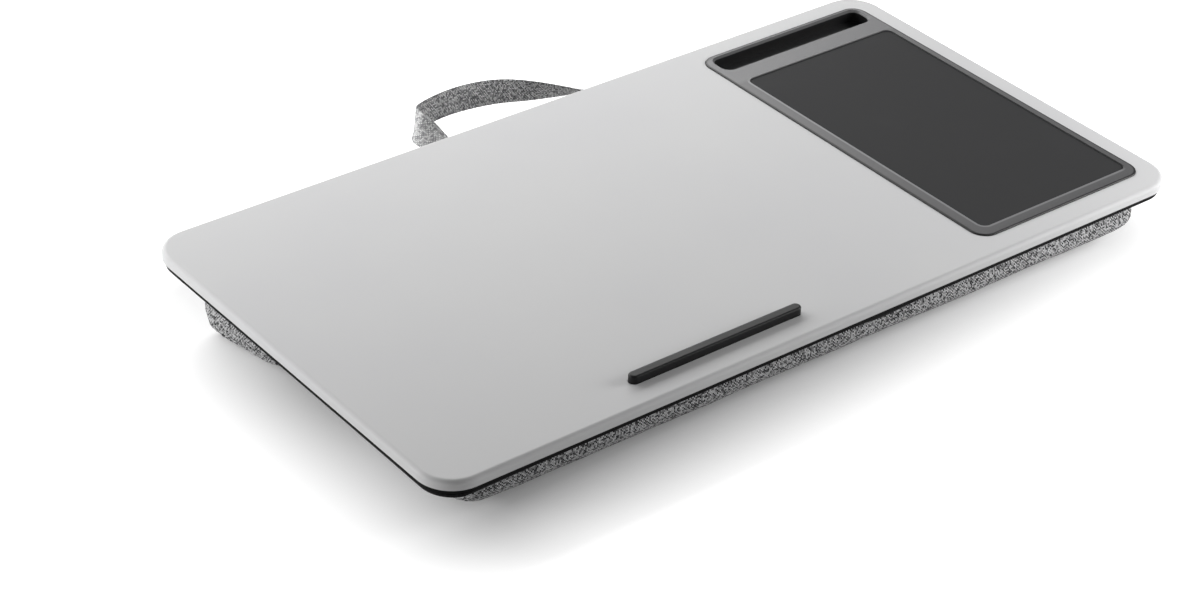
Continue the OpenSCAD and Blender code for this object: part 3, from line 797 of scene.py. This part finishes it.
bm = bmesh.new()
bmesh.ops.create_grid(bm, x_segments=142, y_segments=74, size=1)
for vertex in bm.verts:
    x = math.sin(math.pi / 2 * vertex.co.x) * CLOTH_HALF[0]
    y = math.sin(math.pi / 2 * vertex.co.y) * CLOTH_HALF[1]
    inward = min(CLOTH_HALF[0] - abs(x), CLOTH_HALF[1] - abs(y))
    # lower hem at the front-left corner, the left end and right of the front's middle: black cloth
    # as painted shade
    near_corner = math.exp(-math.hypot(x + 268, y + 150) / 60)
    shade_wedge = math.exp(-(((x - 38) / 20) ** 2)) * (y < 0)
    drop = HEM_DEPTH + CORNER_SHADE_DROP * near_corner + LEFT_SHADE_DROP * (x < -270)
    drop += SHADE_WEDGE_DROP * shade_wedge
    drop *= math.sin(math.pi * math.sqrt(min(1, inward / HEM)))
    corner = Vector((abs(x) - CLOTH_HALF[0] + CLOTH_CORNER, abs(y) - CLOTH_HALF[1] + CLOTH_CORNER))
    if min(corner) > 0 and corner.length > 1e-6:
        corner *= max(corner) / corner.length
        x = math.copysign(CLOTH_HALF[0] - CLOTH_CORNER + corner.x, x)
        y = math.copysign(CLOTH_HALF[1] - CLOTH_CORNER + corner.y, y)
    ripple = 0.1 * noise.noise(Vector((x / 14, y / 14, 0)))
    vertex.co = on_board(x, y, -CLOTH_DEPTH + ripple - drop)
bmesh.ops.solidify(bm, geom=bm.faces[:], thickness=0.45 * MM)
backing = add_piece("cushion_backing", bm, backing_felt)
low = min((UNBOARD @ v.co).z for v in backing.data.vertices)
high = max((UNBOARD @ v.co).z for v in backing.data.vertices)
print("backing from", round(low / MM, 2), "to", round(high / MM, 2), "mm under the board")
flat_uv(backing)
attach(backing, "tray")
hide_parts("backing_cloth")

# %% Valley strip
STRIP_MIDDLE, STRIP_HALF = (3, 2), (261, 18)
STRIP_DEPTH = 1.35
bm = bmesh.new()
bmesh.ops.create_grid(bm, x_segments=180, y_segments=14, size=1)
for vertex in bm.verts:
    x = STRIP_MIDDLE[0] + vertex.co.x * STRIP_HALF[0]
    y = STRIP_MIDDLE[1] + vertex.co.y * STRIP_HALF[1]
    slack = max(0.0, 1 - (vertex.co.y / 0.8) ** 2) * min(1.0, (1 - abs(vertex.co.x)) * 20)
    sag = slack * (1.3 + 0.6 * noise.noise(Vector((x / 25, y / 12, 3))))
    vertex.co = on_board(x, y, -STRIP_DEPTH - sag)
bmesh.ops.solidify(bm, geom=bm.faces[:], thickness=0.5 * MM)
strip = add_piece("valley_cover_strip", bm, cushion_canvas)
flat_uv(strip)
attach(strip, "tray")
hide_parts("valley_strip")

# %% [markdown]
# ## The carrying strap
#
# The strap is a folded and hemmed band of the same canvas, 19 mm wide. Both ends are sewn
# flat under the board's rear edge. Between them it leaves flat, rolls onto its edge and
# stands up as a loop, higher at its left end than at its right. A band that rolls is
# easiest to make from a middle line and a direction across at each point of it: a long
# cut box gets its points from those two, and thicker hems along both edges.

# %% Middle line of the strap
STRAP_HALF_SPAN = 71
STRAP_WIDTH = 19
STRAP_THICKNESS = 1.4
SEAM_Y = 155.7
SEAM_Z = -(CLOTH + STRAP_THICKNESS / 2)
ANCHOR = 16.9
STATIONS = 176
ANCHOR_STATIONS = 12
hinge = on_board(0, SEAM_Y, SEAM_Z)
strap_knots = [
    (-71, 0, 0),
    (-69, 5.6, 3.3),
    (-71.2, 21, 9.3),
    (-60.3, 34.2, 7.4),
    (-25.7, 46, 3),
    (12.5, 51.6, -4.4),
    (44.9, 44.7, -10.9),
    (67.5, 27.1, -10.6),
    (75.1, 14.5, -6.4),
    (71, 0, 0),
]
knots = [Vector(knot) for knot in strap_knots]


def loop_point(u):
    """Middle line of the free loop from the hinge, in millimetres, for u from 0 to 1."""
    last = len(knots) - 1
    i = min(int(u * last), last - 1)
    f = u * last - i
    b, c = knots[i], knots[i + 1]
    a = knots[i - 1] if i > 0 else 2 * b - c
    d = knots[i + 2] if i + 2 <= last else 2 * c - b
    bend = (2 * a - 5 * b + 4 * c - d) * f * f + (3 * b - a - 3 * c + d) * f**3
    return (2 * b + (c - a) * f + bend) / 2


def ease(t):
    """A smooth step from 0 to 1."""
    t = min(max(t, 0.0), 1.0)
    return t * t * (3 - 2 * t)


def loop_across(u):
    """Direction across the loop: flat at its ends and upright between them."""
    along = (loop_point(min(u + 0.001, 1)) - loop_point(max(u - 0.001, 0))).normalized()
    inward = Vector((along.y, -along.x, 0)).normalized()
    upright = min(ease((u - 0.01) / 0.33), ease((1 - u - 0.01) / 0.53))
    lean = inward * (1 - upright) + Vector((0, 0, upright))
    return (lean - along * lean.dot(along)).normalized(), along


line = []
for k in range(STATIONS + 1):
    u = k / STATIONS
    across, along = loop_across(u)
    line.append((hinge + loop_point(u) * MM, across, along))
slope_y, slope_z = BOARD.to_3x3() @ Vector((0, 1, 0)), BOARD.to_3x3() @ Vector((0, 0, 1))
for side in (-1, 1):
    for k in range(1, ANCHOR_STATIONS + 1):
        place = on_board(side * STRAP_HALF_SPAN, SEAM_Y - ANCHOR * k / ANCHOR_STATIONS, SEAM_Z)
        station = (place, Vector((-side, 0, 0)), -side * slope_y)
        if side < 0:
            line.insert(0, station)
        else:
            line.append(station)
run = [0.0]
for one, two in zip(line, line[1:]):
    run.append(run[-1] + (two[0] - one[0]).length / MM)
print("strap is", round(run[-1]), "mm long from end to end")

# %% [markdown]
# The line's stations become the cut box's rows. Each point of the box has a place across
# the band and through it. A shallow groove parts the hem along each edge from the middle,
# and the stitches lie in it.

# %% Strap body
HEM_LINE = 0.76


def strap_point(station, across, through):
    """A point of the band, across from -1 to 1 and through it in millimetres."""
    middle, side, along = line[station]
    return middle + side * across * STRAP_WIDTH / 2 * MM + along.cross(side) * through * MM


def hem(across):
    """Half the band's thickness: round at the edge, full in the hem, with a groove beside it."""
    edge = abs(across)
    rounding = math.sqrt(max(0.0, 1 - max(0.0, (edge - 0.93) / 0.07) ** 2))
    groove = 0.22 * math.exp(-(((edge - HEM_LINE) / 0.05) ** 2))
    crown = 0.06 * math.cos(edge * math.pi / 2)
    return max(0.08, (STRAP_THICKNESS / 2 - groove - 0.06 + crown) * rounding)


bm = bmesh.new()
cut_box(bm, (len(line) - 2, 38, 1))
uv = bm.loops.layers.uv.new("weave")
for face in bm.faces:
    for loop in face.loops:
        station = round((loop.vert.co.x + 1) / 2 * (len(line) - 1))
        flip = INNER_FACE_AT if loop.vert.co.z > 0 else 0
        loop[uv].uv = (run[station], loop.vert.co.y * STRAP_WIDTH / 2 + flip)
for vertex in bm.verts:
    station = round((vertex.co.x + 1) / 2 * (len(line) - 1))
    vertex.co = strap_point(station, vertex.co.y, vertex.co.z * hem(vertex.co.y))
strap = add_piece("carry_strap", bm, strap_canvas)

# %% Rows of stitches
STRAP_PITCH = 3.2


def stitch_row(bm, places, length, thick):
    """Small rounded stitches: each place is a point, a direction along and one out of the cloth."""
    bead = bmesh.new()
    size = Matrix.Diagonal((length / 2 * MM, thick / 2 * MM, thick / 2 * MM, 1))
    bmesh.ops.create_uvsphere(bead, u_segments=6, v_segments=4, radius=1, matrix=size)
    for middle, along, out in places:
        side = out.cross(along).normalized()
        turn = Matrix((along.normalized(), side, out.normalized())).transposed().to_4x4()
        stitch = bpy.data.meshes.new("stitch")
        bead.to_mesh(stitch)
        stitch.transform(Matrix.Translation(middle) @ turn)
        bm.from_mesh(stitch)
        bpy.data.meshes.remove(stitch)
    bead.free()


def thread_piece(name, bm):
    """The object of a row of stitches, with a short thread pattern along each."""
    piece = add_piece(name, bm, sewing_thread)
    weave = piece.data.uv_layers.new(name="weave")
    for loop in piece.data.loops:
        co = piece.data.vertices[loop.vertex_index].co
        weave.data[loop.index].uv = ((co.x + co.y) / MM, (co.z - co.y) / MM)
    return piece


bm = bmesh.new()
for face_side in (-1, 1):
    for edge in (-HEM_LINE, HEM_LINE):
        places = []
        next_at = 1.5
        for k in range(1, len(line) - 1):
            if run[k] < next_at:
                continue
            next_at += STRAP_PITCH
            point = strap_point(k, edge, face_side * hem(edge))
            places.append((point, line[k][2], line[k][2].cross(line[k][1]) * face_side))
        stitch_row(bm, places, 2.6, 0.7)
strap_stitches = thread_piece("carry_strap_stitches", bm)

for piece in (strap, strap_stitches):
    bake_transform(piece)
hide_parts("strap_anchor_left", "strap_anchor_right", "handle_strap")

# %% [markdown]
# ## Stitches under the tray
#
# The backing cloth is hemmed all round, the strip is sewn along both edges, and each end
# of the strap is held by a stitched square with a cross in it.

# %% Stitches on the backing, the strip and the strap's ends


def sewn_line(start, end, height, pitch=3.6):
    """Places for stitches on a straight line under the board, between two points on it."""
    run_of = Vector(end) - Vector(start)
    count = max(1, int(run_of.length / pitch))
    along = BOARD.to_3x3() @ Vector((run_of.x, run_of.y, 0)).normalized()
    return [
        (on_board(*(Vector(start) + run_of * ((k + 0.5) / count)), height), along, -slope_z)
        for k in range(count)
    ]


bm = bmesh.new()
for side in (-1, 1):
    y = 2 + side * 15.6
    stitch_row(bm, sewn_line((-256, y), (262, y), -1.66), 2.6, 0.55)
    x = side * STRAP_HALF_SPAN
    left, right, front, rear = x - 6.5, x + 6.5, 140.8, 151.5
    corners = [(left, front), (right, front), (right, rear), (left, rear)]
    for one, two in ((0, 1), (1, 2), (2, 3), (3, 0), (0, 2), (1, 3)):
        stitch_row(bm, sewn_line(corners[one], corners[two], -2.2, 2.9), 2.2, 0.5)
hem_x, hem_y = CLOTH_HALF[0] - HEM - 0.8, CLOTH_HALF[1] - HEM - 0.8
for side in (-1, 1):
    stitch_row(bm, sewn_line((-264, side * hem_y), (264, side * hem_y), -0.7), 2.4, 0.4)
    stitch_row(bm, sewn_line((side * hem_x, -129), (side * hem_x, 129), -0.7), 2.4, 0.4)
under_stitches = thread_piece("underside_stitches", bm)
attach(under_stitches, "tray")

# %% [markdown]
# ## Floor, world and light
#
# The picture was taken on a white sweep. A large soft lamp above and behind the tray
# lights its rear more than its front and leaves the front edge in shade. A smaller one
# stands low at the left, where it brightens the bolsters' left ends, and a weak one at the
# front right fills the shade there. The world is an even grey that fills what is left, and
# shows as white where the camera looks past the floor.
# The sweep is white card. In the camera's eyes alone it glows a little beside the tray and
# becomes plain white further off, the way an overexposed backdrop does. That light reaches
# nothing else, and the shadow stays.

# %% Floor
GLOW_HALF = (0.235, 0.155)
GLOW_TURN = -0.035
bm = bmesh.new()
bmesh.ops.create_grid(bm, x_segments=1, y_segments=1, size=8)
white_card, tree, shader = new_finish("white_card_sweep", Roughness=0.9)
place = add(tree, "TexCoord").outputs["Object"]
grain = add(tree, "TexNoise", {"Vector": place, "Scale": 3, "Detail": 2})
card = mix_colours(tree, grain.outputs[0], linear("#e4e4e4"), linear("#e8e8e8"))
tree.links.new(card, shader.inputs["Base Color"])
turned = add(tree, "Mapping", {"Vector": place, "Rotation": (0, 0, GLOW_TURN)}).outputs[0]
away = distance_past_box(tree, turned, (0, 0), GLOW_HALF, (0.6, 1, 1))
glow = add(tree, "MapRange", {"Value": away, "From Max": 0.09, "To Min": 0.085, "To Max": 1.0})
rays = add(tree, "LightPath")
shown = add(
    tree, "Math", {0: glow.outputs[0], 1: rays.outputs["Is Camera Ray"]}, operation="MULTIPLY"
)
light = add(tree, "Emission", {"Color": (1, 1, 1, 1), "Strength": shown.outputs[0]})
both = add(tree, "AddShader", {0: shader.outputs[0], 1: light.outputs[0]})
tree.links.new(both.outputs[0], tree.nodes["Material Output"].inputs["Surface"])
floor = add_piece("floor", bm, white_card, smooth=False)
floor.data.transform(Matrix.Translation((0, 0, -0.0002)))

# %% World and lamps
world = bpy.data.worlds.new("soft_studio")
bpy.context.scene.world = world
world.use_nodes = True
tree = world.node_tree
background = tree.nodes["Background"]
background.inputs["Color"].default_value = (1, 1, 1, 1)
background.inputs["Strength"].default_value = 0.165
seen = add(tree, "Background", {"Color": (1, 1, 1, 1), "Strength": 1})
rays = add(tree, "LightPath")
mix = add(
    tree,
    "MixShader",
    {0: rays.outputs["Is Camera Ray"], 1: background.outputs[0], 2: seen.outputs[0]},
)
tree.links.new(mix.outputs[0], tree.nodes["World Output"].inputs["Surface"])


def softbox(name, place, size, power):
    """A rectangular area lamp at a place, aimed at the middle of the tray."""
    data = bpy.data.lights.new(name, "AREA")
    data.shape = "RECTANGLE"
    data.size, data.size_y = size
    data.energy = power
    lamp = bpy.data.objects.new(name, data)
    bpy.context.scene.collection.objects.link(lamp)
    lamp.location = place
    lamp.rotation_euler = (-Vector(place)).to_track_quat("-Z", "Y").to_euler()
    return lamp


softbox("rear_softbox", (0.0, 0.8, 0.6), (2.0, 0.6), 15.0)
softbox("left_softbox", (-1.1, 0.4, 0.17), (0.6, 0.3), 4.8)
softbox("right_fill_softbox", (0.62, -0.48, 0.26), (0.4, 0.3), 3.8)
bpy.context.scene.view_settings.view_transform = "Standard"

# %% Bring the scene up to date
bpy.context.view_layer.update()
